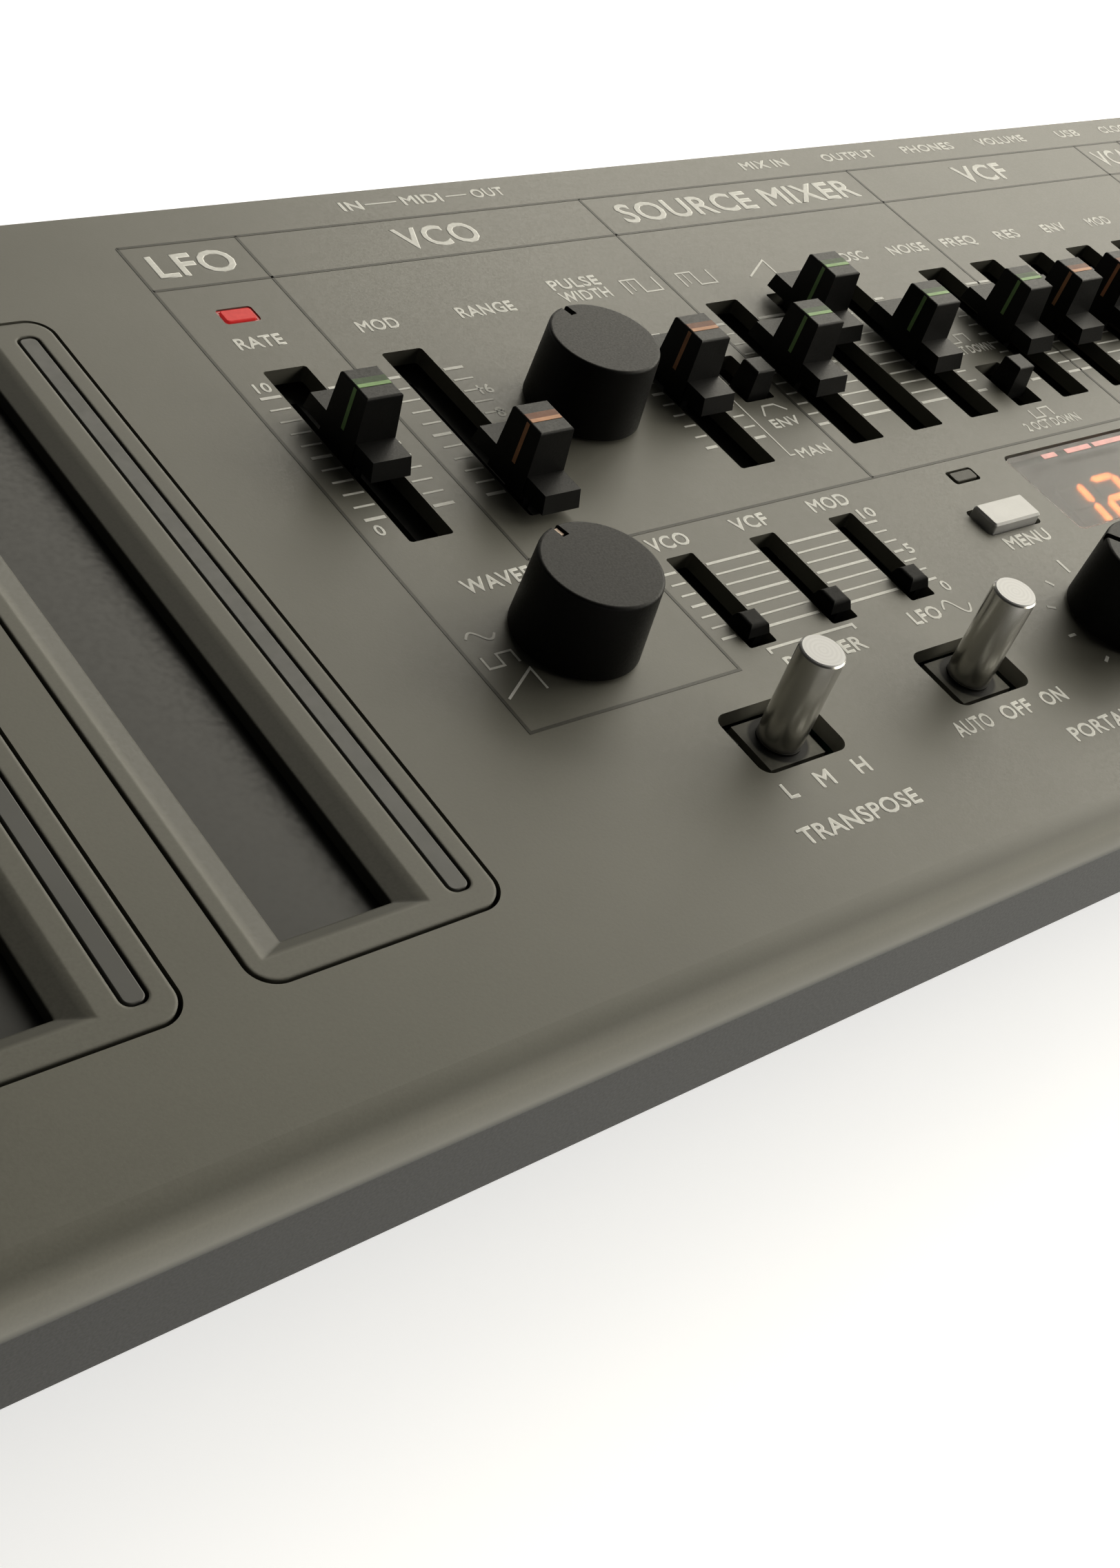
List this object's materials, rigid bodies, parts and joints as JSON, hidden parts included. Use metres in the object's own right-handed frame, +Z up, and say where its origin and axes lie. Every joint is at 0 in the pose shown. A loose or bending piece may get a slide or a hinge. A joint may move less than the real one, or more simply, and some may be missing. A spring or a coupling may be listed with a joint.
{
  "type": "synthesizer module",
  "caption": "Desktop synthesizer with a metal control panel of sliders, knobs, levers and buttons, touch ribbons at the left, and rear sockets.",
  "frame": {"origin": "on the floor under the middle of the instrument's bounding box", "axes": "+X to the player's right, +Y away from the player towards the rear sockets, +Z up"},
  "size_m": [0.3, 0.128, 0.046],
  "materials": {
    "panel_metal": "fine satin texture, olive grey",
    "bezel_plastic": "satin",
    "sensor_film": "smooth, half gloss",
    "light_bar": "frosted lens",
    "case_plastic": "fine spark texture",
    "foot_rubber": "matt",
    "steel_hardware": "plated",
    "smoked_window": "smoked, glossy",
    "black_plastic": "satin",
    "lamp_red": "diffused lens",
    "circuit_board": "solder mask",
    "dark_metal": "plated, dull",
    "socket_nickel": "nickel plated",
    "speaker_cone": "paper cone",
    "cell_wrap": "printed wrap",
    "lever_chrome": "turned, bright",
    "button_white": "satin",
    "key_plastic": "satin",
    "knob_plastic": "fine matt texture",
    "cap_plastic": "fine matt texture"
  },
  "bodies": {
    "chassis": {"top_cover": "panel_metal", "bottom_case": "case_plastic", "rear_panel": "case_plastic", "rubber_feet": "foot_rubber", "case_screws": "steel_hardware", "ribbon_bezels": "bezel_plastic", "ribbon_sensors": "sensor_film", "ribbon_light_bars": "light_bar", "display_window": "smoked_window", "display_module": "black_plastic", "indicator_leds": "lamp_red", "panel_board": "circuit_board", "main_board": "circuit_board", "slide_pots": "dark_metal", "rotary_pots": "dark_metal", "switch_bodies": "black_plastic", "tact_switches": "black_plastic", "midi_sockets": "black_plastic", "audio_jacks": "socket_nickel", "usb_socket": "socket_nickel", "speaker": "speaker_cone", "batteries": "cell_wrap", "battery_contacts": "steel_hardware"},
    "lfo_rate_slider": {"lfo_rate_slider": "cap_plastic"},
    "vco_mod_slider": {"vco_mod_slider": "cap_plastic"},
    "pulse_width_slider": {"pulse_width_slider": "cap_plastic"},
    "pulse_level_slider": {"pulse_level_slider": "cap_plastic"},
    "saw_level_slider": {"saw_level_slider": "cap_plastic"},
    "sub_level_slider": {"sub_level_slider": "cap_plastic"},
    "noise_level_slider": {"noise_level_slider": "cap_plastic"},
    "filter_freq_slider": {"filter_freq_slider": "cap_plastic"},
    "filter_res_slider": {"filter_res_slider": "cap_plastic"},
    "filter_env_slider": {"filter_env_slider": "cap_plastic"},
    "filter_mod_slider": {"filter_mod_slider": "cap_plastic"},
    "filter_kybd_slider": {"filter_kybd_slider": "cap_plastic"},
    "attack_slider": {"attack_slider": "cap_plastic"},
    "decay_slider": {"decay_slider": "cap_plastic"},
    "sustain_slider": {"sustain_slider": "cap_plastic"},
    "release_slider": {"release_slider": "cap_plastic"},
    "bender_vco_slider": {"bender_vco_slider": "cap_plastic"},
    "bender_vcf_slider": {"bender_vcf_slider": "cap_plastic"},
    "bender_mod_slider": {"bender_mod_slider": "cap_plastic"},
    "pwm_source_switch": {"pwm_source_switch": "cap_plastic"},
    "sub_type_switch": {"sub_type_switch": "cap_plastic"},
    "vca_mode_switch": {"vca_mode_switch": "cap_plastic"},
    "range_knob": {"range_knob": "knob_plastic"},
    "waveform_knob": {"waveform_knob": "knob_plastic"},
    "portamento_knob": {"portamento_knob": "knob_plastic"},
    "value_knob": {"value_knob": "knob_plastic"},
    "transpose_lever": {"transpose_lever": "lever_chrome"},
    "portamento_lever": {"portamento_lever": "lever_chrome"},
    "menu_button": {"menu_button": "button_white"},
    "shift_button": {"shift_button": "key_plastic"},
    "hold_button": {"hold_button": "key_plastic"},
    "arp_button": {"arp_button": "key_plastic"},
    "seq_button": {"seq_button": "key_plastic"},
    "play_button": {"play_button": "key_plastic"},
    "volume_knob": {"volume_knob": "knob_plastic"},
    "power_switch": {"power_switch": "cap_plastic"},
    "battery_door": {"battery_door": "case_plastic"}
  },
  "joints": [
    {"name": "lfo_rate_slider_slide", "type": "slide", "parent": "chassis", "child": "lfo_rate_slider", "axis": [0, 1, 0], "range_m": [-0.0104, 0.0096]},
    {"name": "vco_mod_slider_slide", "type": "slide", "parent": "chassis", "child": "vco_mod_slider", "axis": [0, 1, 0], "range_m": [-0.001, 0.019]},
    {"name": "pulse_width_slider_slide", "type": "slide", "parent": "chassis", "child": "pulse_width_slider", "axis": [0, 1, 0], "range_m": [-0.0106, 0.0094]},
    {"name": "pulse_level_slider_slide", "type": "slide", "parent": "chassis", "child": "pulse_level_slider", "axis": [0, 1, 0], "range_m": [-0.01, 0.01]},
    {"name": "saw_level_slider_slide", "type": "slide", "parent": "chassis", "child": "saw_level_slider", "axis": [0, 1, 0], "range_m": [-0.0182, 0.0018]},
    {"name": "sub_level_slider_slide", "type": "slide", "parent": "chassis", "child": "sub_level_slider", "axis": [0, 1, 0], "range_m": [-0.01, 0.01]},
    {"name": "noise_level_slider_slide", "type": "slide", "parent": "chassis", "child": "noise_level_slider", "axis": [0, 1, 0], "range_m": [-0.01, 0.01]},
    {"name": "filter_freq_slider_slide", "type": "slide", "parent": "chassis", "child": "filter_freq_slider", "axis": [0, 1, 0], "range_m": [-0.01, 0.01]},
    {"name": "filter_res_slider_slide", "type": "slide", "parent": "chassis", "child": "filter_res_slider", "axis": [0, 1, 0], "range_m": [-0.01, 0.01]},
    {"name": "filter_env_slider_slide", "type": "slide", "parent": "chassis", "child": "filter_env_slider", "axis": [0, 1, 0], "range_m": [-0.012, 0.008]},
    {"name": "filter_mod_slider_slide", "type": "slide", "parent": "chassis", "child": "filter_mod_slider", "axis": [0, 1, 0], "range_m": [-0.004, 0.016]},
    {"name": "filter_kybd_slider_slide", "type": "slide", "parent": "chassis", "child": "filter_kybd_slider", "axis": [0, 1, 0], "range_m": [-0.01, 0.01]},
    {"name": "attack_slider_slide", "type": "slide", "parent": "chassis", "child": "attack_slider", "axis": [0, 1, 0], "range_m": [-0.002, 0.018]},
    {"name": "decay_slider_slide", "type": "slide", "parent": "chassis", "child": "decay_slider", "axis": [0, 1, 0], "range_m": [-0.01, 0.01]},
    {"name": "sustain_slider_slide", "type": "slide", "parent": "chassis", "child": "sustain_slider", "axis": [0, 1, 0], "range_m": [-0.014, 0.006]},
    {"name": "release_slider_slide", "type": "slide", "parent": "chassis", "child": "release_slider", "axis": [0, 1, 0], "range_m": [-0.008, 0.012]},
    {"name": "bender_vco_slider_slide", "type": "slide", "parent": "chassis", "child": "bender_vco_slider", "axis": [0, 1, 0], "range_m": [-0.0005, 0.0095]},
    {"name": "bender_vcf_slider_slide", "type": "slide", "parent": "chassis", "child": "bender_vcf_slider", "axis": [0, 1, 0], "range_m": [-0.0005, 0.0095]},
    {"name": "bender_mod_slider_slide", "type": "slide", "parent": "chassis", "child": "bender_mod_slider", "axis": [0, 1, 0], "range_m": [-0.0005, 0.0095]},
    {"name": "pwm_source_switch_slide", "type": "slide", "parent": "chassis", "child": "pwm_source_switch", "axis": [0, 1, 0], "range_m": [0, 0.004]},
    {"name": "sub_type_switch_slide", "type": "slide", "parent": "chassis", "child": "sub_type_switch", "axis": [0, 1, 0], "range_m": [-0.002, 0.002]},
    {"name": "vca_mode_switch_slide", "type": "slide", "parent": "chassis", "child": "vca_mode_switch", "axis": [0, 1, 0], "range_m": [-0.004, 0]},
    {"name": "range_knob_turn", "type": "hinge", "parent": "chassis", "child": "range_knob", "pos_m": [-0.04, 0.009, 0.0353], "axis": [0, 0, 1], "range_deg": [-162, 138]},
    {"name": "waveform_knob_turn", "type": "hinge", "parent": "chassis", "child": "waveform_knob", "pos_m": [-0.0648, -0.0223, 0.0353], "axis": [0, 0, 1], "range_deg": [-162, 138]},
    {"name": "portamento_knob_turn", "type": "hinge", "parent": "chassis", "child": "portamento_knob", "pos_m": [0.0013, -0.0405, 0.0353], "axis": [0, 0, 1], "range_deg": [-190, 110]},
    {"name": "value_knob_turn", "type": "hinge", "parent": "chassis", "child": "value_knob", "pos_m": [0.066, -0.022, 0.0353], "axis": [0, 0, 1], "range_deg": [-150, 150]},
    {"name": "transpose_lever_tilt", "type": "hinge", "parent": "chassis", "child": "transpose_lever", "pos_m": [-0.0524, -0.0405, 0.029], "axis": [0, 1, 0], "range_deg": [-14, 14]},
    {"name": "portamento_lever_tilt", "type": "hinge", "parent": "chassis", "child": "portamento_lever", "pos_m": [-0.0244, -0.0405, 0.029], "axis": [0, 1, 0], "range_deg": [-14, 14]},
    {"name": "menu_button_press", "type": "slide", "parent": "chassis", "child": "menu_button", "axis": [0, 0, -1], "range_m": [0, 0.0008], "stiffness_N_per_m": 400, "springref_m": -0.0004},
    {"name": "shift_button_press", "type": "slide", "parent": "chassis", "child": "shift_button", "axis": [0, 0, -1], "range_m": [0, 0.0008], "stiffness_N_per_m": 400, "springref_m": -0.0004},
    {"name": "hold_button_press", "type": "slide", "parent": "chassis", "child": "hold_button", "axis": [0, 0, -1], "range_m": [0, 0.0008], "stiffness_N_per_m": 400, "springref_m": -0.0004},
    {"name": "arp_button_press", "type": "slide", "parent": "chassis", "child": "arp_button", "axis": [0, 0, -1], "range_m": [0, 0.0008], "stiffness_N_per_m": 400, "springref_m": -0.0004},
    {"name": "seq_button_press", "type": "slide", "parent": "chassis", "child": "seq_button", "axis": [0, 0, -1], "range_m": [0, 0.0008], "stiffness_N_per_m": 400, "springref_m": -0.0004},
    {"name": "play_button_press", "type": "slide", "parent": "chassis", "child": "play_button", "axis": [0, 0, -1], "range_m": [0, 0.0008], "stiffness_N_per_m": 400, "springref_m": -0.0004},
    {"name": "volume_knob_turn", "type": "hinge", "parent": "chassis", "child": "volume_knob", "pos_m": [0.0755, 0.0526, 0.0171], "axis": [0, 1, 0], "range_deg": [-150, 150]},
    {"name": "power_switch_slide", "type": "slide", "parent": "chassis", "child": "power_switch", "axis": [1, 0, 0], "range_m": [0, 0.004]},
    {"name": "battery_door_slide", "type": "slide", "parent": "chassis", "child": "battery_door", "axis": [0, -1, 0], "range_m": [0, 0.014]}
  ]
}
